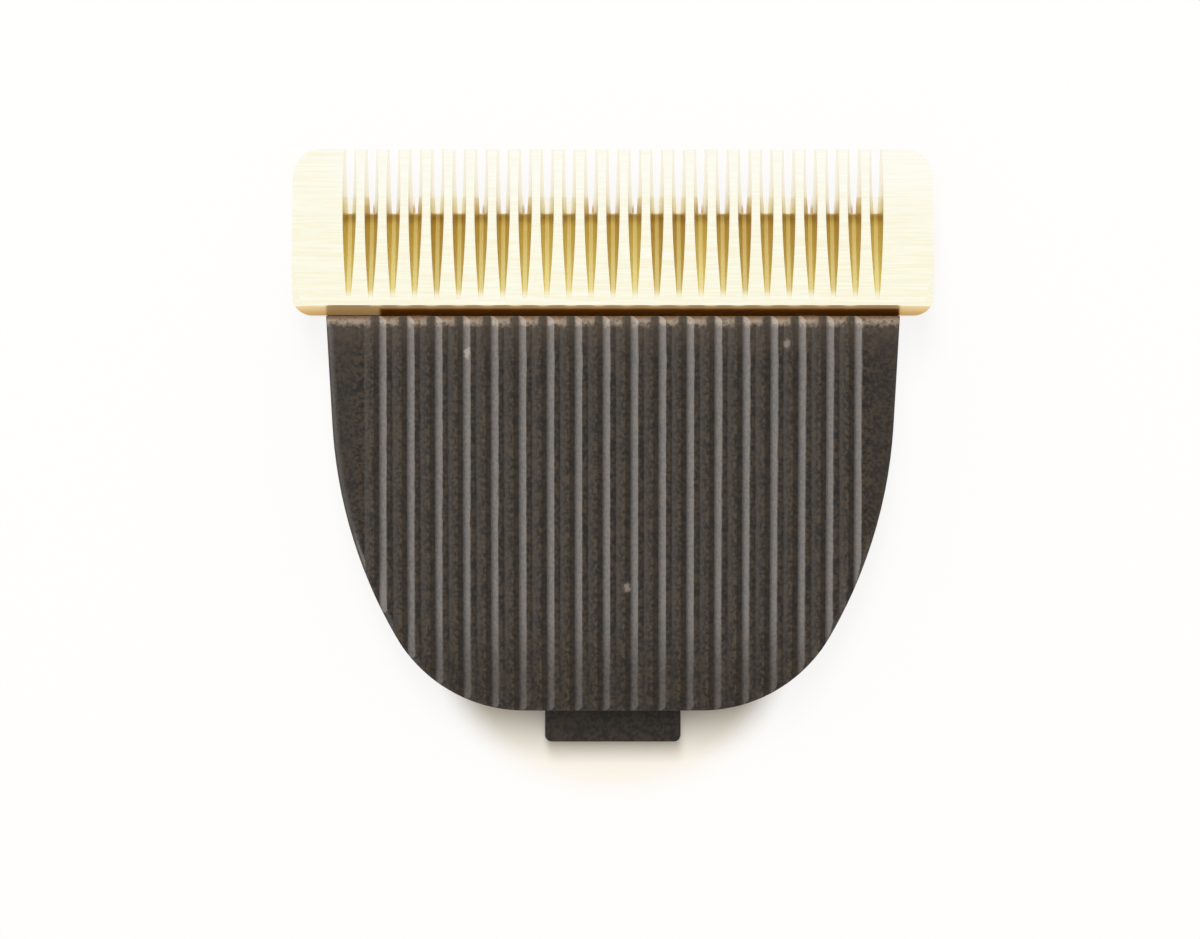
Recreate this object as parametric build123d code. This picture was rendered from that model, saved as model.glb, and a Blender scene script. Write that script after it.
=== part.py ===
"""Clip-on hair clipper blade: a gold steel comb and its cutter on a grooved plastic carrier.

Millimetres. X runs along the row of teeth, Y towards the tooth tips, Z up through the grooved face.
The head lies on the rear rim of its carrier, at Z = 0.
"""
import math
import os

from build123d import *

# Comb, the fixed blade
blade_width = 46.0
comb_length = 12.0
comb_base_thick = 2.8
comb_tip_thick = 0.5
comb_edge_bevel = 0.7
comb_nose_radius = 0.22
ear_radius = 1.4
guard_radius = 2.0

# Slits, ground into the comb's ramp by a thin wheel that runs out near the lower edge
slit_pitch = 1.577
slit_count = 25
slit_start = 1.1
slit_through = 7.4
wheel_radius = 22.0
wheel_edge = 0.28
wheel_flank_angle = 14.0
wheel_depth = 4.0

# Carrier outline and walls
carrier_width = 41.05
carrier_length = 28.36
carrier_side_straight = 7.85
carrier_side_taper = 3.25
carrier_side_radius = 34.6
carrier_tail_radius = 10.6
carrier_wall = 1.6
face_wall = 1.6
face_step = 0.35
face_crown_radius = 150.0
face_edge_radius = 0.5
edge_gap = 0.06
skirt_wall = 1.2
skirt_gap = 0.25

# Grooves of the thumb face
groove_pitch = 2.0
groove_count = 18
groove_width = 1.56
groove_floor = 0.5
groove_depth = 0.42
groove_lip_radius = 0.2
groove_lip_sink = 0.01
groove_lip_flare = 0.2

# Tail hook tab
tab_width = 9.85
tab_reach = 2.4
tab_thick = 1.8
tab_height = 0.8
tab_corner = 0.5

# Levels: the shear plane where cutter meets comb
shear_height = 5.6

# Cheeks that carry the comb, and the screws through them
cheek_reach = 2.7
cheek_back = 3.0
cheek_height = 2.2
cheek_land = 0.5
cheek_corner = 0.8
screw_size = 2.0
screw_grip = 2.0
screw_head_width = 3.4
screw_head_height = 1.3
screw_head_round = 0.45
screw_inset = 1.0
screw_gap = 0.1
thread_gap = 0.02
cross_width = 0.55
cross_length = 1.9
cross_depth = 0.7

# Cutter, the moving blade
cutter_travel = 1.25
cutter_thick = 1.3
cutter_tip_thick = 0.55
cutter_tip_bevel = 2.6
cutter_tip_setback = 3.4
cutter_pitch = 1.971
cutter_gullets = 19
cutter_gullet_mouth = 1.05
cutter_gullet_root = 0.5
cutter_land = 1.2
cutter_overlap = 0.3
cutter_tail = 2.0
cutter_gap = 0.25
cutter_shoulder_gap = 0.5
hollow_depth = 0.15
hollow_start = 0.7
hollow_end = 3.7

# Drive yoke
peg_width = 2.2
peg_height = 1.0
peg_spread = 6.8
peg_inset = 0.9
peg_gap = 0.05
wing_half = 10.2
wing_thick = 1.7
wing_front = 3.0
wing_corner = 1.0
yoke_width = 10.4
yoke_tail = 10.5
yoke_height = 0.6
yoke_roof_gap = 0.2
yoke_corner = 0.8
drive_slot_width = 4.8
drive_slot_length = 4.9
drive_slot_roof = 0.5
rail_width = 1.2
rail_setback = 3.4
rail_depth = 1.3
rail_overhang = 1.5
rail_gap = 0.1

# Torsion springs and their seats in the carrier
wire_width = 0.7
wire_pitch = 0.75
coil_width = 3.4
coil_turns = 2
coil_setback = 13.5
coil_height = 3.2
arm_overlap = 1.6
wire_gap = 0.02
stub_width = 2.4
stub_overhang = 0.2
bracket_wall = 1.2
bracket_gap = 0.25
bracket_rim = 0.5
lug_depth = 1.0
lug_gap = 0.2
leg_gap = 0.15

# Catch ridges on the side walls, which hold the head on the clipper
catch_length = 4.4
catch_height = 0.5
catch_setback = 3.3
catch_level = 1.8

# Places worked out from the sizes above
tail_reach = edge_gap + carrier_length + tab_reach
edge_y = (tail_reach - comb_length) / 2
tip_y = edge_y + comb_length
front_y = edge_y - edge_gap
tail_y = front_y - carrier_length
carrier_half = carrier_width / 2
side_lean = math.radians(carrier_side_taper)
side_run = Vector(-math.sin(side_lean), -math.cos(side_lean))
side_out = Vector(math.cos(side_lean), -math.sin(side_lean))
face_height = shear_height + comb_base_thick + face_step
crown_axis = Axis((0, front_y, face_height - face_crown_radius), (1, 0, 0))
slit_reach = (slit_count - 1) / 2 * slit_pitch

screw_x = carrier_half - carrier_wall - screw_head_width / 2 - screw_gap
screw_y = edge_y + screw_inset
cheek_inner = screw_x - screw_head_width / 2 - cheek_land
cheek_front = edge_y + cheek_reach

cutter_back = shear_height - cutter_thick
cutter_tip_y = tip_y - cutter_tip_setback
cutter_half = slit_reach + cutter_overlap
cutter_root_half = cheek_inner - cutter_travel - cutter_gap
cutter_shoulder_y = cheek_front + cutter_shoulder_gap
cutter_tail_y = edge_y - cutter_tail

wing_back = cutter_back - wing_thick
peg_y = edge_y + peg_inset
yoke_roof = shear_height - yoke_roof_gap
yoke_tail_y = edge_y - yoke_tail
yoke_half = yoke_width / 2
rail_y = edge_y - rail_setback - rail_width / 2
rail_bottom = yoke_roof - rail_depth

coil_y = edge_y - coil_setback
coil_radius = coil_width / 2
arm_x = wing_half - cutter_travel - wire_width
coil_end_x = arm_x + coil_turns * wire_pitch
bracket_x = coil_end_x + wire_width / 2 + bracket_gap


def face_level(y):
    """Height of the crowned thumb face at a place along Y."""
    fall = face_crown_radius - math.sqrt(face_crown_radius**2 - (front_y - y) ** 2)
    return face_height - fall


def carrier_outline(front):
    """D-shaped plan of the carrier, with tapered sides, squared off at front."""
    side_end = Vector(carrier_half, front_y) + side_run * carrier_side_straight
    corner_x = carrier_half + (front - front_y) * math.tan(side_lean)
    radius_step = carrier_side_radius - carrier_tail_radius
    drop = side_end.Y + carrier_side_radius * math.sin(side_lean) - tail_y - carrier_tail_radius
    turn = math.degrees(math.asin(drop / radius_step)) - carrier_side_taper
    side = Line((corner_x, front), side_end)
    flank = JernArc(side_end, side_run, carrier_side_radius, -turn)
    tail_corner = JernArc(flank @ 1, flank % 1, carrier_tail_radius, turn + carrier_side_taper - 90)
    tail = Line(tail_corner @ 1, (0, tail_y))
    right = Curve() + [Line((0, front), (corner_x, front)), side, flank, tail_corner, tail]
    return make_face((right + mirror(right, about=Plane.YZ)).edges())


def crown(radius):
    """Drum about the crown axis, whose upper side is the crowned thumb face."""
    centre = Location((0, front_y, face_height - face_crown_radius), (0, 90, 0))
    return centre * Cylinder(radius, 2 * carrier_width)


def block(x_range, y_range, z_range):
    """Box between pairs of limits along X, Y and Z."""
    lows, highs = zip(x_range, y_range, z_range)
    size = [high - low for low, high in zip(lows, highs)]
    return Pos(*lows) * Box(*size, align=(Align.MIN, Align.MIN, Align.MIN))


def post(width, height):
    """Upright round post that stands on the origin."""
    return Cylinder(width / 2, height, align=(Align.CENTER, Align.CENTER, Align.MIN))


def both_sides(piece):
    """A piece on the right and its mirror image on the left."""
    return [piece, mirror(piece, about=Plane.YZ)]


def thumb_grooves():
    """Rings that cut the grooves, with rounded lips, along the crowned face."""
    section = Plane(origin=(0, front_y, face_height), x_dir=(1, 0, 0), z_dir=(0, -1, 0))
    flare = groove_width / 2 + groove_lip_flare
    right = [
        (groove_floor / 2, -groove_depth),
        (groove_width / 2, -groove_lip_sink),
        (flare, groove_lip_sink),
        (flare, groove_depth),
    ]
    left = [(-x, depth) for x, depth in reversed(right)]
    profile = make_face(Polyline(*right, *left, close=True))
    profile = fillet(profile.vertices().group_by(Axis.Y)[1], groove_lip_radius)
    spread = GridLocations(groove_pitch, 0, groove_count, 1)
    return [revolve(section * place * profile, axis=crown_axis) for place in spread]


def spring_seat():
    """Bracket, stub pin and stop lug that hold the right spring's coil."""
    roof = face_level(coil_y) - face_wall / 2
    reach = coil_radius + bracket_rim
    plane = Plane(origin=(bracket_x, coil_y, coil_height), x_dir=(0, 1, 0), z_dir=(1, 0, 0))
    rise = roof - coil_height
    foot = Circle(reach) + Pos(0, rise / 2) * Rectangle(2 * reach, rise)
    bracket = extrude(plane * foot, bracket_wall)
    stub_length = bracket_x - arm_x + wire_width / 2 + stub_overhang
    stub = extrude(plane * Circle(stub_width / 2), -stub_length)
    leg_front = coil_y - coil_radius + wire_width / 2 + wire_gap
    coil_top = coil_height + coil_radius + wire_width / 2
    lug = block(
        (coil_end_x - wire_width / 2, bracket_x + bracket_wall),
        (leg_front, leg_front + lug_depth),
        (coil_top + lug_gap, roof),
    )
    return bracket + stub + lug


def catch_ridge():
    """Ridge along the inside of the tapered right wall."""
    corner = Vector(carrier_half, front_y, catch_level)
    front = corner + side_run * catch_setback - side_out * carrier_wall
    section = Plane(origin=front, x_dir=side_out, z_dir=side_run)
    triangle = Polyline((0, catch_height), (0, -catch_height), (-catch_height, 0), close=True)
    root = Pos(carrier_wall / 4, 0) * Rectangle(carrier_wall / 2, 2 * catch_height)
    return extrude(section * (make_face(triangle) + root), catch_length)


def make_carrier():
    """Hollow moulded body with its grooved face, cheeks, hook tab and spring seats."""
    shell = extrude(carrier_outline(front_y), face_height) & crown(face_crown_radius)
    shell = fillet(shell.faces().sort_by(Axis.Z)[-1].edges(), face_edge_radius)
    inner_plan = offset(carrier_outline(cheek_front + carrier_wall), -carrier_wall, kind=Kind.INTERSECTION)
    hollow = extrude(inner_plan, face_height) & crown(face_crown_radius - face_wall)
    shell -= hollow
    shell -= thumb_grooves()

    wall_x = carrier_half - carrier_wall
    neck_top = face_height - face_wall / 2
    neck_y = (front_y - cheek_back, front_y)
    seat = block((cheek_inner, blade_width), (front_y, cheek_front), (cheek_height, shear_height))
    side_wall = block((wall_x, blade_width), (front_y, cheek_front), (0, shear_height))
    cheek = (seat + side_wall) & extrude(carrier_outline(cheek_front), face_height)
    front_edges = cheek.edges().filter_by(Axis.Z).group_by(Axis.Y)[-1]
    cheek = fillet([front_edges.sort_by(Axis.X)[0], front_edges.sort_by(Axis.X)[-1]], cheek_corner)
    cheek += block((cheek_inner, wall_x), neck_y, (cheek_height, neck_top))
    cheek -= Pos(screw_x, screw_y, 0) * post(screw_size + 2 * screw_gap, shear_height)
    skirt_y = (front_y - skirt_wall, front_y)
    skirt = block((-cheek_inner, cheek_inner), skirt_y, (shear_height + skirt_gap, neck_top))
    rail_half = yoke_half + cutter_travel + rail_overhang
    rail_low = rail_y - rail_width / 2
    rail_high = rail_y + rail_width / 2
    rail = block((-rail_half, rail_half), (rail_low, rail_high), (rail_bottom, neck_top))
    tab_y = (tail_y - tab_reach, tail_y + carrier_wall / 2)
    tab = block((-tab_width / 2, tab_width / 2), tab_y, (tab_height, tab_height + tab_thick))
    tab = fillet(tab.edges().filter_by(Axis.Z).group_by(Axis.Y)[0], tab_corner)
    pieces = [skirt, rail, tab]
    for piece in (cheek, spring_seat(), catch_ridge()):
        pieces += both_sides(piece)
    return shell + pieces


def comb_plan():
    """Plan of the comb before its slits: round ears below and round guards at the tips."""
    plan = Pos(0, edge_y + comb_length / 2) * Rectangle(blade_width, comb_length)
    rows = plan.vertices().group_by(Axis.Y)
    plan = fillet(rows[0], ear_radius)
    return fillet(plan.vertices().group_by(Axis.Y)[-1], guard_radius)


def slit_wheel():
    """Rim of the grinding wheel, placed where it cuts the middle slit."""
    ramp_fall = (comb_base_thick - comb_tip_thick) / (comb_length - comb_edge_bevel)
    start_level = comb_base_thick - ramp_fall * (slit_start - comb_edge_bevel)
    run = slit_through - slit_start
    chord = math.hypot(run, start_level)
    lean = math.atan2(start_level, run) - math.asin(chord / 2 / wheel_radius)
    centre_y = edge_y + slit_through + wheel_radius * math.sin(lean)
    centre_z = shear_height + wheel_radius * math.cos(lean)
    half_edge = wheel_edge / 2
    half_root = half_edge + wheel_depth * math.tan(math.radians(wheel_flank_angle))
    section = Plane(origin=(0, centre_y, centre_z), x_dir=(1, 0, 0), z_dir=(0, -1, 0))
    root = wheel_radius - wheel_depth
    edge = ((-half_edge, -wheel_radius), (half_edge, -wheel_radius))
    rim = Polyline(*edge, (half_root, -root), (-half_root, -root), close=True)
    return revolve(section * make_face(rim), axis=Axis((0, centre_y, centre_z), (1, 0, 0)))


def make_fixed_blade():
    """Comb: a ramp-shaped plate with a bevelled lower edge and wheel-ground slits."""
    side = Plane(origin=(0, edge_y, shear_height), x_dir=(0, 1, 0), z_dir=(1, 0, 0))
    ramp = Polyline(
        (0, 0),
        (comb_length, 0),
        (comb_length, comb_tip_thick),
        (comb_edge_bevel, comb_base_thick),
        (0, comb_base_thick),
        close=True,
    )
    profile = make_face(ramp)
    nose = profile.vertices().group_by(Axis.X)[-1].sort_by(Axis.Y)[-1]
    profile = fillet(nose, comb_nose_radius)
    plate = extrude(side * profile, blade_width / 2, both=True)
    bevel_start = comb_base_thick - comb_edge_bevel
    upright = extrude(Pos(0, 0, shear_height) * comb_plan(), bevel_start)
    roof = extrude(Pos(0, 0, shear_height + bevel_start) * comb_plan(), comb_edge_bevel, taper=45)
    plate = plate & (upright + roof)
    plate -= [place * slit_wheel() for place in GridLocations(slit_pitch, 0, slit_count, 1)]
    hole = post(screw_size + 2 * thread_gap, screw_grip + thread_gap)
    plate -= both_sides(Pos(screw_x, screw_y, shear_height) * hole)
    return plate


def make_moving_blade():
    """Cutter: a thin toothed plate, wide at its teeth and narrow between the cheeks."""
    teeth_y = (cutter_shoulder_y, cutter_tip_y)
    plate = block((-cutter_half, cutter_half), teeth_y, (cutter_back, shear_height))
    root_y = (cutter_tail_y, cutter_shoulder_y)
    plate += block((-cutter_root_half, cutter_root_half), root_y, (cutter_back, shear_height))
    side = Plane(origin=(0, cutter_tip_y, cutter_back), x_dir=(0, 1, 0), z_dir=(1, 0, 0))
    wedge = Polyline((0, 0), (0, cutter_thick - cutter_tip_thick), (-cutter_tip_bevel, 0), close=True)
    plate -= extrude(side * make_face(wedge), blade_width, both=True)
    mouth = cutter_gullet_mouth / 2
    root = cutter_gullet_root / 2
    depth = cutter_tip_y - cutter_shoulder_y - cutter_land - root
    throat = make_face(Polyline((-mouth, 0), (mouth, 0), (root, -depth), (-root, -depth), close=True))
    outline = throat + Pos(0, -depth) * Circle(root)
    gullet = extrude(Pos(0, cutter_tip_y, cutter_back) * outline, cutter_thick)
    plate -= [place * gullet for place in GridLocations(cutter_pitch, 0, cutter_gullets, 1)]
    plate -= block(
        (-blade_width, blade_width),
        (edge_y + hollow_start, edge_y + hollow_end),
        (shear_height - hollow_depth, shear_height),
    )
    hole = post(peg_width + 2 * peg_gap, cutter_thick)
    plate -= both_sides(Pos(peg_spread, peg_y, cutter_back) * hole)
    return plate


def make_drive_yoke():
    """Slider pegged to the cutter, with wings for the springs and a slot for the drive pin."""
    step_y = cutter_tail_y - cutter_gap
    wings = block((-wing_half, wing_half), (step_y, edge_y + wing_front), (wing_back, cutter_back))
    wings = fillet(wings.edges().filter_by(Axis.Z), wing_corner)
    fork = block((-yoke_half, yoke_half), (yoke_tail_y, edge_y), (yoke_height, cutter_back))
    fork += block((-yoke_half, yoke_half), (yoke_tail_y, step_y), (cutter_back, yoke_roof))
    fork = fillet(fork.edges().filter_by(Axis.Z).group_by(Axis.Y)[0], yoke_corner)
    peg = post(peg_width, peg_height)
    yoke = fork + wings + both_sides(Pos(peg_spread, peg_y, cutter_back) * peg)
    channel_half = rail_width / 2 + rail_gap
    channel_y = (rail_y - channel_half, rail_y + channel_half)
    yoke -= block((-yoke_width, yoke_width), channel_y, (rail_bottom - rail_gap, shear_height))
    slot_half = drive_slot_width / 2
    slot_roof = yoke_roof - drive_slot_roof
    slot_end = yoke_tail_y + drive_slot_length
    yoke -= block((-slot_half, slot_half), (yoke_tail_y, slot_end - slot_half), (yoke_height, slot_roof))
    yoke -= Pos(0, slot_end - slot_half, yoke_height) * post(drive_slot_width, slot_roof - yoke_height)
    return yoke


def make_spring():
    """Right torsion spring: a straight arm under the yoke's wing, a coil and an upright leg."""
    arm_y = edge_y + arm_overlap - coil_y
    arm_z = wing_back - wire_width / 2 - wire_gap - coil_height
    arm_length = math.sqrt(arm_y**2 + arm_z**2 - coil_radius**2)
    start = math.atan2(arm_z, arm_y) - math.atan2(arm_length, coil_radius)

    def on_coil(angle, x):
        return Vector(x, coil_y + coil_radius * math.cos(angle), coil_height + coil_radius * math.sin(angle))

    def ahead(angle):
        return Vector(0, math.sin(angle), -math.cos(angle))

    def section(angle, x):
        return Plane(origin=on_coil(angle, x), z_dir=ahead(angle)) * Circle(wire_width / 2)

    runs = [extrude(section(start, arm_x), -arm_length)]
    step = wire_pitch / 2
    for turn in range(2 * coil_turns):
        angle = start - turn * math.pi
        x = arm_x + turn * step
        centre = (on_coil(angle, x) + on_coil(angle - math.pi, x + step)) / 2
        tilt = (on_coil(angle, x) - centre).cross(ahead(angle))
        runs.append(revolve(section(angle, x), axis=Axis(centre, tilt), revolution_arc=180))
    hub = Axis((coil_end_x, coil_y, coil_height), (-1, 0, 0))
    runs.append(revolve(section(start, coil_end_x), axis=hub, revolution_arc=180 + math.degrees(start)))
    leg_top = face_level(coil_y - coil_radius) - face_wall - leg_gap
    runs.append(extrude(section(-math.pi, coil_end_x), leg_top - coil_height))
    return Part() + runs


def make_screw():
    """Right blade screw: a round head with a cross recess, up through the cheek into the comb."""
    head = Cylinder(screw_head_width / 2, screw_head_height, align=(Align.CENTER, Align.CENTER, Align.MAX))
    head = fillet(head.edges().sort_by(Axis.Z)[0], screw_head_round)
    shank = post(screw_size, shear_height - cheek_height + screw_grip)
    arm = Pos(0, 0, -screw_head_height) * Box(cross_length, cross_width, 2 * cross_depth)
    return Pos(screw_x, screw_y, cheek_height) * (head + shank - [arm, Rot(0, 0, 90) * arm])


def main():
    spring = make_spring()
    spring_right, spring_left = both_sides(spring)
    pieces = {
        "carrier": make_carrier(),
        "fixed_blade": make_fixed_blade(),
        "moving_blade": make_moving_blade(),
        "drive_yoke": make_drive_yoke(),
        "spring_right": spring_right,
        "spring_left": spring_left,
        "blade_screws": Compound(children=both_sides(make_screw())),
    }
    os.makedirs("parts", exist_ok=True)
    for name, piece in pieces.items():
        export_step(piece, f"parts/{name}.step")


main()
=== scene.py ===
# %% [markdown]
# # A hair clipper blade, dressed for its picture
# The part comes from CAD with every piece at its real size: a grooved plastic carrier, a gold comb,
# a cutter behind it, a drive yoke, two springs and two screws. Modelling them again would only make a
# second set of sizes to keep right, so this lesson leaves their shapes alone. It gives each piece its
# finish, lays the head on a white table, lights it and sets up the camera.

# %% Load the part
import math

import bmesh
import bpy
from mathutils import Color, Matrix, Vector


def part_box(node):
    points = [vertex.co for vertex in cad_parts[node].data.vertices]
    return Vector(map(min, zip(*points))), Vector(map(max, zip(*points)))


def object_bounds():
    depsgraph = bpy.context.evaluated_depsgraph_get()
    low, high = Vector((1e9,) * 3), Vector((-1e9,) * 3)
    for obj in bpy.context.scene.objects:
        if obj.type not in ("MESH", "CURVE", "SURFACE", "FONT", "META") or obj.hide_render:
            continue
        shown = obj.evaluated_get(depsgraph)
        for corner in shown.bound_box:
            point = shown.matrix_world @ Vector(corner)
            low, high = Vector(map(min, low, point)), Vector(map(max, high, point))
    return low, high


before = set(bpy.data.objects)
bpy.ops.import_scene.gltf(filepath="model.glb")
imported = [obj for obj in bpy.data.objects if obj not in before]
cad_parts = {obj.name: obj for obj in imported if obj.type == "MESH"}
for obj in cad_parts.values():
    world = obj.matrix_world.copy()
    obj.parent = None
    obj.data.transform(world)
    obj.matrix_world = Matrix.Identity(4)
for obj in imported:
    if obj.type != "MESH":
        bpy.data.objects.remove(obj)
cad_low, cad_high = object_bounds()
print("CAD box in mm:", [round(1000 * size, 2) for size in cad_high - cad_low])

# %% [markdown]
# ## Sums with sockets
# A finish is a tree of shader nodes. Such a tree can be clicked together in the editor or written node by
# node, but both are slow to read later. Here a small class stands for one socket and knows Python's
# operators, so `1 - mask` adds a Math node by itself. Every other node comes from one method, which takes
# the node's type, its settings and the values or links of its sockets.


# %% A socket that takes part in expressions
class Wire:
    """One output socket of a shader tree."""

    def __init__(self, sheet, socket):
        self.sheet = sheet
        self.socket = socket

    def __getitem__(self, name):
        """Another output of the same node."""
        return Wire(self.sheet, self.socket.node.outputs[name])

    def __add__(self, other):
        return self.sheet.maths("ADD", self, other)

    def __radd__(self, other):
        return self.sheet.maths("ADD", other, self)

    def __sub__(self, other):
        return self.sheet.maths("SUBTRACT", self, other)

    def __rsub__(self, other):
        return self.sheet.maths("SUBTRACT", other, self)

    def __mul__(self, other):
        return self.sheet.maths("MULTIPLY", self, other)

    def __rmul__(self, other):
        return self.sheet.maths("MULTIPLY", other, self)

    def __truediv__(self, other):
        return self.sheet.maths("DIVIDE", self, other)

    def __rtruediv__(self, other):
        return self.sheet.maths("DIVIDE", other, self)

    def __pow__(self, other):
        return self.sheet.maths("POWER", self, other)

    def __rpow__(self, other):
        return self.sheet.maths("POWER", other, self)

    def __abs__(self):
        return self.sheet.maths("ABSOLUTE", self)


# %% A sheet of nodes for one finish
class Finish:
    """Node tree of a material or of the world, with a method for each kind of mix."""

    def __init__(self, owner):
        owner.use_nodes = True
        self.owner = owner
        self.tree = owner.node_tree
        self.tree.nodes.clear()

    def node(self, kind, settings=None, inputs=None, output=0):
        made = self.tree.nodes.new(kind)
        for name, value in (settings or {}).items():
            setattr(made, name, value)
        for name, value in (inputs or {}).items():
            if isinstance(value, Wire):
                self.tree.links.new(value.socket, made.inputs[name])
            else:
                made.inputs[name].default_value = value
        return Wire(self, made.outputs[output]) if made.outputs else None

    def maths(self, operation, first, second=0.0):
        return self.node("ShaderNodeMath", {"operation": operation}, {0: first, 1: second})

    def millimetres(self):
        """Place on the piece, in millimetres of the part's own frame."""
        place = self.node("ShaderNodeTexCoord")["Object"]
        return self.node("ShaderNodeVectorMath", {"operation": "SCALE"}, {0: place, "Scale": 1000.0})

    def stretched(self, place, factors):
        return self.node("ShaderNodeVectorMath", {"operation": "MULTIPLY"}, {0: place, 1: factors})

    def split(self, vector):
        """The three numbers of a vector."""
        parts = self.node("ShaderNodeSeparateXYZ", {}, {0: vector})
        return parts["X"], parts["Y"], parts["Z"]

    def facing(self):
        """The three numbers of the direction in which the surface looks."""
        return self.split(self.node("ShaderNodeTexCoord")["Normal"])

    def noise(self, place, scale, detail=2.0, roughness=0.5):
        inputs = {"Vector": place, "Scale": scale, "Detail": detail, "Roughness": roughness}
        return self.node("ShaderNodeTexNoise", {}, inputs)

    def step(self, value, low, high):
        """0 below low, 1 above high and a smooth rise between; low above high gives a fall."""
        inputs = {"Value": value, "From Min": low, "From Max": high}
        return self.node("ShaderNodeMapRange", {"interpolation_type": "SMOOTHSTEP"}, inputs)

    def tint(self, share, first, second):
        """Colour that goes from the first to the second as share goes from 0 to 1."""
        settings = {"data_type": "RGBA", "clamp_factor": True}
        return self.node("ShaderNodeMix", settings, {0: share, 6: first, 7: second}, output=2)

    def bump(self, height, depth_mm, strength=1.0):
        inputs = {"Height": height, "Distance": depth_mm / 1000, "Strength": strength}
        return self.node("ShaderNodeBump", {}, inputs)

    def surface(self, inputs):
        shader = self.node("ShaderNodeBsdfPrincipled", {}, inputs)
        self.node("ShaderNodeOutputMaterial", {}, {"Surface": shader})


# %% Paint, new finishes and dressing
def paint(red, green, blue):
    """Linear colour of a paint given as it looks on a screen, from 0 to 255."""
    on_screen = Color((red / 255, green / 255, blue / 255))
    return (*on_screen.from_srgb_to_scene_linear(), 1.0)


def new_finish(name):
    return Finish(bpy.data.materials.new(name))


def dress(finish, *nodes):
    """Give a finish to CAD pieces, in place of the plain one that they came with."""
    for name in nodes:
        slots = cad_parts[name].data.materials
        slots.clear()
        slots.append(finish.owner)
    print(finish.owner.name, "on", ", ".join(nodes), "with", len(finish.tree.nodes), "nodes")


# %% [markdown]
# ## The carrier's plastic
# The body is moulded from a black plastic with a brown cast. Its thumb face has lands with grooves
# between them, and use has marked it: there is grime in the grooves, and the front is rubbed pale.
# Painted shade and painted highlights lie in the grooves and on the front ends of the lands as well.
# A painted picture could show that, but only from one side. Masks that are worked out from places on
# the part fit every view. The face is crowned, so height alone can't tell a land from a floor. The
# distance from the axis of the crown can, because it gives each point's depth below the face. What lies
# far below it is the outer wall.

# %% Where the grooved face lies, in millimetres
comb_low, comb_high = [1000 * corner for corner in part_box("fixed_blade")]
comb_edge = comb_low.y
edge_gap = 0.06
face_front = comb_edge - edge_gap
face_top = 1000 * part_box("carrier")[1].z
crown_radius = 150.0
groove_depth = 0.42
groove_pitch = 2.0
print("the grooved face starts at", round(face_front, 2), "mm and is", round(face_top, 2), "mm high")

# %% Measure the depth below the face
floor_depths = (0.6 * groove_depth, 0.95 * groove_depth)
wall_depths = (1.5 * groove_depth, 2.0 * groove_depth)

plastic = new_finish("moulded_black")
place = plastic.millimetres()
x, y, z = plastic.split(place)
rise = z - (face_top - crown_radius)
run = y - face_front
sunk = crown_radius - (rise * rise + run * run) ** 0.5
floor = plastic.step(sunk, *floor_depths)
wall = plastic.step(sunk, *wall_depths)
print("floors lie from", round(floor_depths[0], 2), "mm down, walls from", round(wall_depths[0], 2), "mm")

# %% [markdown]
# ### Grain, grime and painted shade
# Moulded plastic is never one colour. A fine grain and slow blotches make a mottle between two browns
# here, and the plain margins beside the grooves are a shade darker. A darker mottle lies on the floors,
# where it is grime and painted shade together, and in a strip along each groove, where it is painted shade.
# The strip beside it is painted paler, a painted highlight on the groove's other side.
# One mask per groove would take many nodes. The remainder of X after division by the pitch serves all
# the grooves at once.

# %% Mottle the plastic
grain_mean = 0.5
grain_share = 0.8
mottle_levels = (0.41, 0.59)
margin_start = 18.2
margin_fade = 0.5
margin_share = 0.3
pit_black = paint(16, 12, 7)
skin_brown = paint(60, 49, 36)
margin_black = paint(18, 11, 7)

grain = plastic.noise(place, scale=3.6, detail=4.0, roughness=0.65)
blotch = plastic.noise(place, scale=0.9)
mottle = plastic.step(grain_share * grain + (1 - grain_share) * blotch, *mottle_levels)
colour = plastic.tint(mottle, pit_black, skin_brown)
margin = plastic.step(abs(x), margin_start, margin_start + margin_fade)
colour = plastic.tint(margin_share * margin, colour, margin_black)
print("plain margins start", margin_start, "mm from the middle")

# %% Lay grime and painted shade in the grooves
groove_end = 17.4
groove_end_fade = 0.2
floor_share = 0.75
wall_loss = 0.35
strip_share = 0.6
strip_start = (1.0, 1.16)
strip_stop = (1.42, 1.26)
foot_start = (1.5, 1.68)
foot_stop = (1.94, 1.78)
grime_and_shade = plastic.tint(mottle, paint(10, 7, 3), paint(36, 28, 18))
painted_sheen_brown = plastic.tint(mottle, paint(34, 29, 21), paint(78, 67, 54))

# The floors darken with grime and painted shade together.
colour = plastic.tint(floor * (floor_share - wall_loss * wall), colour, grime_and_shade)
grooved = (1 - wall) * plastic.step(abs(x), groove_end + groove_end_fade, groove_end)
across = plastic.maths("FLOORED_MODULO", x - groove_pitch / 2, groove_pitch)
# Painted shade in a strip along each groove, and a painted highlight in the strip beside it.
strip = plastic.step(across, *strip_start) * plastic.step(across, *strip_stop) * grooved
colour = plastic.tint(strip_share * strip, colour, grime_and_shade)
foot = plastic.step(across, *foot_start) * plastic.step(across, *foot_stop) * grooved
colour = plastic.tint(foot, colour, painted_sheen_brown)
print("the strips repeat every", groove_pitch, "mm, up to", groove_end, "mm from the middle")

# %% [markdown]
# ### Wear, a painted highlight and flecks
# Fingers rub the front of the face. A wide zone there is a little paler, and the rounded front ends of the
# lands are pale grey, partly worn and partly a painted highlight on their rounding. A clean border would
# look painted on, so the grain is added to the distance and makes it ragged. The few pale flecks on the
# face are round spots with the same ragged border.

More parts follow.
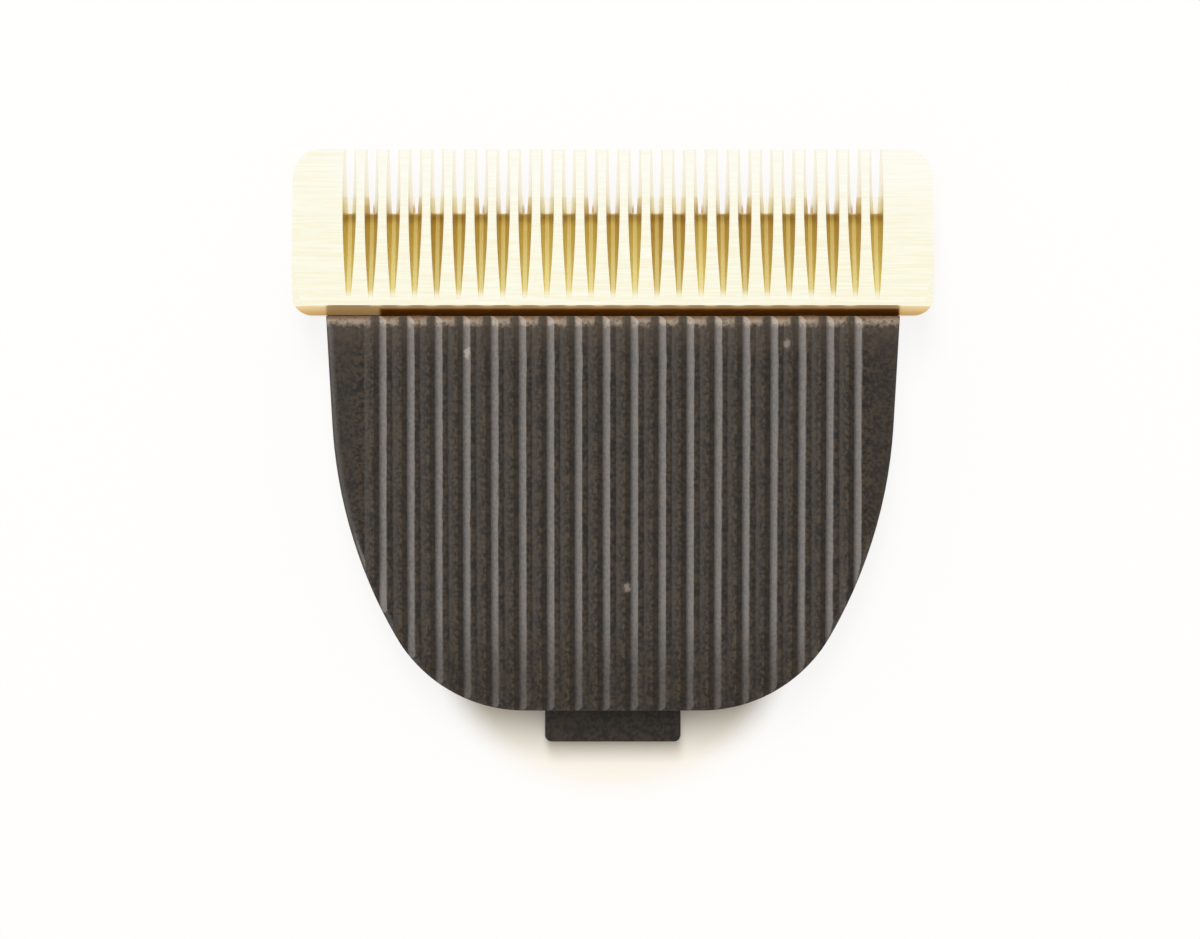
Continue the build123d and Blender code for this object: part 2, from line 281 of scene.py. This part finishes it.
# %% Wear the front ends of the lands and paint a highlight on them
edge_round = 0.5
rubbed_reach = 3.5
rubbed_share = 0.3
rubbed_grey = paint(96, 83, 70)
ragged = 0.8
wear_and_sheen_run = (-1.8 * edge_round, -0.7 * edge_round)
wear_and_sheen_height = (face_top - 0.9 * edge_round, face_top - 0.6 * edge_round)
wear_and_sheen_grain = (0.2, 0.55)
wear_and_sheen_tone_run = (-0.8 * edge_round, -0.2 * edge_round)
wear_and_sheen_pale = paint(156, 139, 121)
wear_and_sheen_brown = paint(122, 97, 77)

rubbed = plastic.step(run, -rubbed_reach, 0.0) * (1 - wall)
colour = plastic.tint(rubbed_share * rubbed, colour, rubbed_grey)
# The pale front ends of the lands are partly wear and partly a painted highlight on their rounding.
wear_and_sheen = plastic.step(run + ragged * (grain - grain_mean), *wear_and_sheen_run) * plastic.step(z, *wear_and_sheen_height)
wear_and_sheen_tone = plastic.tint(plastic.step(run, *wear_and_sheen_tone_run), wear_and_sheen_pale, wear_and_sheen_brown)
colour = plastic.tint(wear_and_sheen * plastic.step(grain, *wear_and_sheen_grain), colour, wear_and_sheen_tone)
print("the lands are worn over their last", -wear_and_sheen_run[0], "mm")

# %% Scatter the flecks
fleck_places = ((-10.43, 6.70), (12.43, 7.34), (1.0, -10.09))
fleck_size = 0.32
fleck_core = 0.4 * fleck_size
fleck_stretch = 0.65
fleck_ragged = 0.7
fleck_share = 0.7
fleck_grey = paint(150, 138, 126)

for fleck_x, fleck_y in fleck_places:
    away = ((x - fleck_x) ** 2.0 + (fleck_stretch * (y - fleck_y)) ** 2.0) ** 0.5
    border = away + fleck_ragged * (grain - grain_mean)
    fleck = plastic.step(border, fleck_size, fleck_core) * (1 - wall)
    colour = plastic.tint(fleck_share * fleck, colour, fleck_grey)
print(len(fleck_places), "flecks")

# %% Dress the carrier
land_roughness = 0.34
floor_dulling = 0.12
grain_dulling = 0.16
margin_dulling = 0.25
tail_dulling = 0.2
tail_start = -11.5
tail_fade = 6.0
coarse_share = 0.6
grain_height = 0.016

tail = plastic.step(y, tail_start, tail_start - tail_fade)
dulling = floor_dulling * floor + grain_dulling * grain + margin_dulling * margin + tail_dulling * tail
fine = plastic.noise(place, scale=11.0)
plastic.surface({
    "Base Color": colour,
    "Roughness": land_roughness + dulling,
    "IOR": 1.52,
    "Specular IOR Level": 0.22,
    "Normal": plastic.bump(coarse_share * grain + (1 - coarse_share) * fine, grain_height),
})
dress(plastic, "carrier")

# %% [markdown]
# ## The gold comb
# The comb is ground steel with a thin gold nitride coat, so it is a metal in the colour of the coat. Its
# ramp was ground across the teeth, which left fine lines along the row, and a thin wheel cut the slits,
# which left arcs down their walls. Such marks are finer than a hair. Geometry for them would be wasted,
# and a little bump shows them well. Noise that is stretched along X draws the lines, and noise that
# depends on the distance from the wheel's axle draws the arcs.

# %% Where the ramp, the slits and the wheel lie, in millimetres
comb_bevel = 0.7
tip_thick = 0.5
ramp_start = comb_edge + comb_bevel
ramp_fall = (comb_high.z - comb_low.z - tip_thick) / (comb_high.y - ramp_start)
slit_start = comb_edge + 1.1
slit_through = comb_edge + 7.4
slit_pitch = 1.577
row_end = (21.5, 20.5)
wheel_y = comb_edge + 7.95
wheel_z = comb_low.z + 21.99
print("the ramp falls", round(math.degrees(math.atan(ramp_fall)), 1), "degrees")

# %% Find the slits below the ramp
slit_depths = (0.05, 0.35)
slit_rise = (slit_start - 0.2, slit_start + 0.2)
slit_fall = (slit_through + 0.1, slit_through - 0.15)

comb_coat = new_finish("comb_gold")
place = comb_coat.millimetres()
x, y, z = comb_coat.split(place)
row = comb_coat.step(abs(x), *row_end)
below_ramp = comb_high.z - ramp_fall * (y - ramp_start) - z
slit = comb_coat.step(below_ramp, *slit_depths) * row
slit = slit * comb_coat.step(y, *slit_rise) * comb_coat.step(y, *slit_fall)
print("the slits run from", round(slit_start, 2), "to", round(slit_through, 2), "mm")


# %% Draw the marks of the grinding
def ground_lines(sheet, place):
    """Fine lines along the row of teeth, which both blades have."""
    along_row = sheet.stretched(place, (0.2, 7.0, 7.0))
    return sheet.noise(along_row, scale=1.0, detail=4.0, roughness=0.7)


arcs_per_mm = 14.0
arc_drift = 0.5

lines = ground_lines(comb_coat, place)
from_axle = ((y - wheel_y) ** 2.0 + (z - wheel_z) ** 2.0) ** 0.5
arc_place = comb_coat.node("ShaderNodeCombineXYZ", {}, {"X": arcs_per_mm * from_axle, "Y": arc_drift * x})
arcs = comb_coat.noise(arc_place, scale=1.0)
marks = lines * (1 - slit) + arcs * slit
print("the wheel's axle is", round(wheel_z - comb_high.z, 1), "mm above the comb")

# %% [markdown]
# ### The ramp and the teeth
# The ramp is painted a pale cream, a painted highlight for the bright sheen of its gold, with deeper gold
# in the ground lines. The tips are painted palest, a painted highlight too. The flanks of the teeth and the
# faces that look sideways or down keep a deeper gold, a painted shade beside the painted highlight of the
# ramp. Faces could be picked by hand, but the direction in which a face looks finds them all.

# %% Colour the ramp and the teeth
streak_levels = (0.36, 0.64)
streak_share = 0.5
cloud_share = 0.15
painted_sheen_cream = paint(255, 255, 240)
streak_gold = paint(246, 235, 194)
tip_run = (slit_through - 2.0, comb_high.y - 1.0)
tip_share = 0.2
tip_extra = 0.35
left_guard = (-21.0, -18.5)
tip_highlight_white = paint(255, 255, 250)

# The ramp's pale cream is a painted highlight for the bright sheen of the gold.
cloud = comb_coat.noise(place, scale=0.35)
streaks = comb_coat.step(lines, *streak_levels)
colour = comb_coat.tint(cloud_share * cloud + streak_share * streaks, painted_sheen_cream, streak_gold)
# Painted highlight: the tips are painted paler, and more so everywhere but the left guard.
tips = comb_coat.step(y, *tip_run)
tip_highlight = tips * (tip_share + tip_extra * comb_coat.step(x, *left_guard))
colour = comb_coat.tint(tip_highlight, colour, tip_highlight_white)
print("the tips pale from", round(tip_run[0], 2), "mm on")

# %% Colour the flanks and the outer faces
flank_levels = (0.5, 0.8)
flank_share = 0.45
flank_loss = 0.25
flank_gold = paint(246, 226, 174)
outer_levels = (0.12, -0.05)
outer_gold = paint(234, 204, 146)

# Painted shade: the flanks of the teeth and the faces that look sideways or down get a deeper gold than the
# ramp.
facing_x, _, facing_z = comb_coat.facing()
flank = comb_coat.step(abs(facing_x), *flank_levels) * row
colour = comb_coat.tint(flank * (flank_share - flank_loss * tips), colour, flank_gold)
outer = comb_coat.step(facing_z, *outer_levels)
colour = comb_coat.tint(outer, colour, outer_gold)
print("a face counts as a flank when it looks sideways by more than", flank_levels[0])

# %% [markdown]
# ### The slits
# Inside the slits the gold is painted deeper towards the tips, a painted shade for their depth, with a
# painted shadow at the end where the wheel broke through. The wheel wore as it cut, so no two slits have
# quite the same shade.
# A material for each slit would do it. White noise is simpler: it gives one random number for each
# whole number, and the number of a slit is X over the pitch, rounded.

# %% Colour the walls and the beds of the slits
wall_shade = 0.6
bed_shade = 0.35
wall_end = 0.4
bed_end = 0.75
end_run = (slit_through - 0.95, slit_through - 0.2)
bed_levels = (0.6, 0.3)

# Painted shade: the slits are painted a deeper gold towards the tips and darkest at their through end.
deep = comb_coat.step(y, slit_start, slit_through)
number = comb_coat.maths("ROUND", x / slit_pitch)
shade = comb_coat.node("ShaderNodeTexWhiteNoise", {"noise_dimensions": "1D"}, {"W": number})
dark_end = comb_coat.step(y, *end_run)
slit_wall = comb_coat.tint(deep, paint(253, 245, 200), paint(252, 241, 186))
slit_wall = comb_coat.tint(wall_shade * shade, slit_wall, paint(236, 213, 146))
slit_wall = comb_coat.tint(wall_end * dark_end, slit_wall, paint(206, 172, 100))
bed = comb_coat.tint(deep, paint(247, 234, 164), paint(221, 194, 116))
bed = comb_coat.tint(bed_shade * shade, bed, paint(182, 148, 76))
bed = comb_coat.tint(bed_end * dark_end, bed, paint(174, 140, 66))
in_bed = comb_coat.step(abs(facing_x), *bed_levels)
colour = comb_coat.tint(slit, colour, comb_coat.tint(in_bed, slit_wall, bed))
print("a shade for each", slit_pitch, "mm of the row")

# %% [markdown]
# ### The rear bevel
# A narrow bevel closes the comb towards the carrier. Its gold is painted darker towards the lower edge, a
# painted shade, and it keeps that gold at the ears. Between them the bevel is painted a dark brown, a
# painted shadow in the gap next to the carrier, except for a stretch on the left. Bare metal would mirror
# the white room there, so that stretch is mostly not metallic and painted a paler tan.

# %% Colour the rear bevel
bevel_edge = (ramp_start - 0.02, ramp_start - 0.1)
bevel_gold = paint(240, 213, 160)
bevel_brown = paint(206, 164, 104)
bevel_shade_left = -16.7
bevel_shade_left_blur = 0.2
bevel_shade_right = 20.5
bevel_shade_right_blur = 0.1
bevel_shade_edge = (ramp_start - 0.1, ramp_start - 0.35)
bevel_shade_brown = paint(226, 146, 60)
pale_stretch_tan = paint(218, 176, 118)

# Painted shade: the bevel's gold darkens towards its lower edge.
bevel = comb_coat.step(y, *bevel_edge) * (1 - outer)
slope = comb_coat.step(y, ramp_start, comb_edge)
colour = comb_coat.tint(bevel, colour, comb_coat.tint(slope, bevel_gold, bevel_brown))
# Painted shade: between the ears the bevel is painted dark brown for the shadow in the gap next to the
# carrier, and a stretch on the left is painted a paler tan instead.
between_ears = comb_coat.step(abs(x), bevel_shade_right + bevel_shade_right_blur, bevel_shade_right - bevel_shade_right_blur)
behind = bevel * between_ears
bevel_shade = behind * comb_coat.step(x, bevel_shade_left - bevel_shade_left_blur, bevel_shade_left + bevel_shade_left_blur)
bevel_shade = bevel_shade * comb_coat.step(y, *bevel_shade_edge)
pale_stretch = behind * (1 - bevel_shade)
colour = comb_coat.tint(bevel_shade, colour, bevel_shade_brown)
colour = comb_coat.tint(pale_stretch, colour, pale_stretch_tan)
print("the oil runs from", bevel_shade_left, "to", bevel_shade_right, "mm")

# %% Dress the comb
pale_stretch_cover = 0.8
bevel_shade_cover = 0.05
ground_roughness = 0.24
mark_dulling = 0.14
slit_dulling = 0.1
mark_height = 0.004
mark_strength = 0.6

comb_coat.surface({
    "Base Color": colour,
    "Metallic": 1.0 - pale_stretch_cover * pale_stretch - bevel_shade_cover * bevel_shade,
    "Roughness": ground_roughness + mark_dulling * marks + slit_dulling * slit,
    "Normal": comb_coat.bump(marks, mark_height, mark_strength),
})
dress(comb_coat, "fixed_blade")

# %% [markdown]
# ## The cutter
# The cutter is a second toothed plate with the same coat, and only its tips show in the slits. A dark line
# of painted shade runs along its cutting edges. A line could be modelled along each edge, but a mask is
# enough: X folded back and forth at half the pitch gives the distance from the nearest gullet, and the
# gullets narrow evenly away from the tips. The painted line thins out at the tips.

# %% Where the cutter's teeth lie, in millimetres
cutter_tip = 1000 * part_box("moving_blade")[1].y
gullet_pitch = 1.971
gullet_half = 0.525
gullet_narrowing = 0.07
print("the cutter's teeth end at", round(cutter_tip, 2), "mm")

# %% Find the cutting edges
edge_line = 0.17
edge_blur = 0.06
taper_run = (cutter_tip - 0.1, cutter_tip - 1.3)

cutter_coat = new_finish("cutter_gold")
place = cutter_coat.millimetres()
x, y, _ = cutter_coat.split(place)
from_gullet = cutter_coat.maths("PINGPONG", x, gullet_pitch / 2)
from_edge = from_gullet - gullet_half + gullet_narrowing * (cutter_tip - y)
taper = cutter_coat.step(y, *taper_run)
from_line = from_edge - edge_line * taper + edge_blur * (1 - taper)
# Painted shade: a dark line along each cutting edge.
edge = cutter_coat.step(from_line, edge_blur, -edge_blur)
print("a dark line of", edge_line, "mm along each tooth")

# %% Dress the cutter
line_share = 0.6
tip_paling = 0.7
coat_cream = paint(255, 253, 240)
coat_gold = paint(246, 230, 190)
rear_light = paint(240, 214, 158)
rear_dark = paint(222, 188, 122)
edge_shade_brown = paint(214, 182, 130)
cutter_roughness = 0.22
line_dulling = 0.16

lines = ground_lines(cutter_coat, place)
# Painted highlight: the pale cream top and the paler tips. Painted shade: faces that look down get a deeper
# gold.
colour = cutter_coat.tint(line_share * lines, coat_cream, coat_gold)
colour = cutter_coat.tint(tip_paling * (1 - taper), colour, tip_highlight_white)
_, _, facing_z = cutter_coat.facing()
rear = cutter_coat.step(facing_z, *outer_levels)
colour = cutter_coat.tint(rear, colour, cutter_coat.tint(lines, rear_light, rear_dark))
cutter_coat.surface({
    "Base Color": cutter_coat.tint(edge, colour, edge_shade_brown),
    "Metallic": 1.0,
    "Roughness": cutter_roughness + line_dulling * lines,
    "Normal": cutter_coat.bump(lines, mark_height, mark_strength),
})
dress(cutter_coat, "moving_blade")

# %% [markdown]
# ## The drive yoke
# The yoke slides on the rear side, and the clipper's pin drives it. It is moulded from a slippery bearing
# plastic, a little greyer than the carrier. One grey would look like paint, so slow noise that is stretched
# along X stands for the way the plastic flowed in its mould, with a fine grain on top.

# %% Dress the yoke
flow_share = 0.7
flow_stretch = (0.3, 0.9, 0.9)
dark_grey = paint(44, 45, 47)
light_grey = paint(72, 73, 75)
yoke_roughness = 0.34
yoke_dulling = 0.2
yoke_grain_height = 0.012

yoke_plastic = new_finish("bearing_grey")
place = yoke_plastic.millimetres()
grain = yoke_plastic.noise(place, scale=4.0, detail=3.0, roughness=0.6)
flow = yoke_plastic.noise(yoke_plastic.stretched(place, flow_stretch), scale=1.0)
cast = flow_share * flow + (1 - flow_share) * grain
yoke_plastic.surface({
    "Base Color": yoke_plastic.tint(cast, dark_grey, light_grey),
    "Roughness": yoke_roughness + yoke_dulling * grain,
    "Specular IOR Level": 0.45,
    "Normal": yoke_plastic.bump(grain, yoke_grain_height),
})
dress(yoke_plastic, "drive_yoke")

# %% [markdown]
# ## The springs and the screws
# The springs are wound from drawn wire, and drawing leaves lines along it. Their long arms run along Y,
# so noise that is stretched along Y is close enough for a wire this thin. The screws were turned on
# a lathe, so their marks are rings round each screw's own axis. The screws mirror each other, so the
# absolute value of X serves both with one pattern.

# %% Dress the springs
wire_stretch = (14.0, 1.2, 14.0)
wire_dark = paint(176, 174, 170)
wire_light = paint(214, 213, 210)
wire_roughness = 0.22
wire_dulling = 0.18
wire_mark_height = 0.004

wire_steel = new_finish("drawn_wire")
drawn = wire_steel.stretched(wire_steel.millimetres(), wire_stretch)
lines = wire_steel.noise(drawn, scale=1.0, detail=3.0)
wire_steel.surface({
    "Base Color": wire_steel.tint(lines, wire_dark, wire_light),
    "Metallic": 1.0,
    "Roughness": wire_roughness + wire_dulling * lines,
    "Normal": wire_steel.bump(lines, wire_mark_height),
})
dress(wire_steel, "spring_right", "spring_left")

# %% Find the screws' axes, in millimetres
screw_low, screw_high = [1000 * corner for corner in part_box("blade_screws")]
screw_x = screw_high.x - (screw_high.y - screw_low.y) / 2
screw_y = (screw_low.y + screw_high.y) / 2
print("screws at", round(screw_x, 2), "mm on each side and", round(screw_y, 2), "mm along")

# %% Dress the screws
rings_per_mm = 9.0
ring_drift = 0.8
screw_dark = paint(160, 158, 152)
screw_light = paint(200, 198, 192)
screw_roughness = 0.26
ring_dulling = 0.2
ring_height = 0.006

screw_steel = new_finish("turned_steel")
x, y, z = screw_steel.split(screw_steel.millimetres())
across = abs(x) - screw_x
along = y - screw_y
from_axis = (across * across + along * along) ** 0.5
ring_inputs = {"X": rings_per_mm * from_axis, "Z": ring_drift * z}
ring_place = screw_steel.node("ShaderNodeCombineXYZ", {}, ring_inputs)
rings = screw_steel.noise(ring_place, scale=1.0, detail=3.0)
screw_steel.surface({
    "Base Color": screw_steel.tint(rings, screw_dark, screw_light),
    "Metallic": 1.0,
    "Roughness": screw_roughness + ring_dulling * rings,
    "Normal": screw_steel.bump(rings, ring_height),
})
dress(screw_steel, "blade_screws")

# %% [markdown]
# ## The table
# The head lies on a white table, with a soft, warm shadow at its tail. A table that is only lit would need
# strong lamps to come out white, and they would bleach the comb. So, for the camera and for reflections,
# a share of plain white glows in it, and the rest of the surface still takes the shadow. The share is small
# in an oval round the tail, larger round the head and whole far away.

# %% Lay the table
table_size = 3.0

table_mesh = bpy.data.meshes.new("table")
shape = bmesh.new()
bmesh.ops.create_grid(shape, x_segments=1, y_segments=1, size=table_size / 2)
shape.to_mesh(table_mesh)
shape.free()
table = bpy.data.objects.new("table", table_mesh)
bpy.context.scene.collection.objects.link(table)
print("table", table_size, "m wide")

# %% Share out the glow
tail_glow = 0.1
head_glow = 0.87
shadow_place = (0.0, cad_low.y + 0.0054, 0.0)
shadow_size = (0.0115, 0.0086)
shadow_rim = (0.85, 1.15)
far_rim = (5.0, 10.0)

table_white = new_finish("table_white")
place = table_white.node("ShaderNodeTexCoord")["Object"]
from_tail = table_white.node("ShaderNodeVectorMath", {"operation": "SUBTRACT"}, {0: place, 1: shadow_place})
oval = table_white.stretched(from_tail, (1 / shadow_size[0], 1 / shadow_size[1], 0.0))
rim = table_white.node("ShaderNodeVectorMath", {"operation": "LENGTH"}, {0: oval}, "Value")
near_glow = tail_glow + (head_glow - tail_glow) * table_white.step(rim, *shadow_rim)
glow_share = near_glow + (1 - near_glow) * table_white.step(rim, *far_rim)
print("the glow is weak over", [round(2000 * size) for size in shadow_size], "mm")

# %% [markdown]
# ### Under and behind the table
# The table under the head lies in shade, and a glow there would make the head look as if it floated. A
# mask in the shape of the carrier's hollow keeps it off for the camera and fades out under the comb, where
# light still comes in. From behind, the table is clear, so that a camera below it sees the rear side of
# the head. Taking the table away would do that too, but then the head would have no shadow.

# %% Keep the glow from under the head
hollow_turn = 0.0015
hollow_size = (0.0195, 0.0190)
hollow_rim = (1.08, 0.65)
hollow_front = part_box("moving_blade")[1].y - 0.0018
hollow_fade = (hollow_front + 0.0006, hollow_front - 0.0055)

x, y, _ = table_white.split(place)
past_turn = table_white.maths("MINIMUM", y - hollow_turn, 0.0)
from_hollow = ((x / hollow_size[0]) ** 2.0 + (past_turn / hollow_size[1]) ** 2.0) ** 0.5
hidden = table_white.step(from_hollow, *hollow_rim)
hidden = hidden * table_white.step(y, *hollow_fade)
print("under the head the glow fades out by", round(1000 * hollow_fade[1], 2), "mm")

# %% Mix the table's surface
plain_white = (1.0, 1.0, 1.0, 1.0)
warm_paper = (1.0, 0.94, 0.83, 1.0)

rays = table_white.node("ShaderNodeLightPath")
seen = rays["Is Camera Ray"] * (1 - hidden) + rays["Is Glossy Ray"] + rays["Is Transmission Ray"]
paper = table_white.node("ShaderNodeBsdfDiffuse", {}, {"Color": warm_paper})
glow = table_white.node("ShaderNodeEmission", {}, {"Color": plain_white, "Strength": 1.0})
clear = table_white.node("ShaderNodeBsdfTransparent")
upper = table_white.node("ShaderNodeMixShader", {}, {0: glow_share * seen, 1: paper, 2: glow})
from_below = table_white.node("ShaderNodeNewGeometry")["Backfacing"]
whole = table_white.node("ShaderNodeMixShader", {}, {0: from_below, 1: upper, 2: clear})
table_white.node("ShaderNodeOutputMaterial", {}, {"Surface": whole})
table_mesh.materials.append(table_white.owner)
print("table_white has", len(table_white.tree.nodes), "nodes")

# %% [markdown]
# ## Light
# One soft lamp hangs over the head and leans out beyond the tips of the comb, so the shadow falls at the
# tail. Black plastic shows its form mostly by what it mirrors, so a stronger lamp would hardly help it.
# A bright card on the left picks out one flank of each groove and a dim card on the right the other flank.
# The cards show only in reflections, and light linking keeps them off the polished comb. A faint lamp right
# under the head lights its hollow, which the table would leave black.

# %% A lamp that hangs at a place and looks at the head
middle = (cad_low + cad_high) / 2


def hang_lamp(name, place, size, radiance, colour):
    """Area lamp, turned to the head and as bright as a white card of that radiance."""
    lamp = bpy.data.lights.new(name, "AREA")
    lamp.shape = "RECTANGLE"
    lamp.size, lamp.size_y = size
    lamp.energy = radiance * math.pi * size[0] * size[1]
    lamp.color = colour
    holder = bpy.data.objects.new(name, lamp)
    holder.location = place
    holder.rotation_euler = (middle - Vector(place)).to_track_quat("-Z", "Y").to_euler()
    holder.visible_camera = False
    bpy.context.scene.collection.objects.link(holder)
    print(name, "gives", f"{lamp.energy:.2g}", "W")
    return holder


# %% Hang the lamps
window_place = (-0.03, 0.25, 0.76)
window_size = (0.18, 0.45)
day_blue = (0.96, 1.0, 1.06)
fill_place = (0.0, 0.0, 0.0003)
fill_size = (0.024, 0.030)
fill_cream = (1.0, 0.98, 0.95)

window = hang_lamp("window", window_place, window_size, radiance=17.0, colour=day_blue)
window.visible_glossy = False
hang_lamp("fill", fill_place, fill_size, radiance=0.6, colour=fill_cream)

# %% Stand a card on each side
card_reach = 0.72
card_height = 0.34
card_size = (0.9, 0.6)
card_white = (1.0, 0.99, 0.97)

mirrors_cards = bpy.data.collections.new("grooved")
mirrors_cards.objects.link(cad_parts["carrier"])
for name, side, radiance in (("left_card", -1, 13.0), ("right_card", 1, 3.0)):
    card = hang_lamp(name, (card_reach * side, 0.0, card_height), card_size, radiance, card_white)
    card.visible_diffuse = False
    card.light_linking.receiver_collection = mirrors_cards

# %% [markdown]
# ## The room
# A white room would light the head from all sides and wash out its shadow. So the room sends only a dim,
# warm light, but it is a full white where the camera or a polished face looks at it.

# %% Fill the room
room_cream = (1.0, 0.91, 0.77, 1.0)
room_strength = 0.45

room = Finish(bpy.data.worlds.new("room"))
bpy.context.scene.world = room.owner
rays = room.node("ShaderNodeLightPath")
seen = rays["Is Camera Ray"] + rays["Is Glossy Ray"] + rays["Is Transmission Ray"]
dim = room.node("ShaderNodeBackground", {}, {"Color": room_cream, "Strength": room_strength})
white = room.node("ShaderNodeBackground", {}, {"Color": plain_white, "Strength": 1.0})
mixed = room.node("ShaderNodeMixShader", {}, {0: seen, 1: dim, 2: white})
room.node("ShaderNodeOutputWorld", {}, {"Surface": mixed})
print("the room's light has a strength of", room_strength)

# %% [markdown]
# ## The camera
# The picture looks straight down on the grooved face. A camera close by would show the sides of the head as
# well, so it stands well above. Its lens follows from that distance and from the width that the picture
# takes in at the level of the face.

# %% Set up the camera
camera_x = -0.00093
camera_y = comb_edge / 1000 - 0.01105
camera_distance = 0.35
picture_width = 0.0857

camera_data = bpy.data.cameras.new("camera")
camera_data.sensor_width = 36.0
camera_data.lens = camera_data.sensor_width * camera_distance / picture_width
camera = bpy.data.objects.new("camera", camera_data)
camera.location = (camera_x, camera_y, cad_high.z + camera_distance)
bpy.context.scene.collection.objects.link(camera)
bpy.context.scene.camera = camera
bpy.context.scene.view_settings.view_transform = "Standard"
print("lens", round(camera_data.lens, 1), "mm")
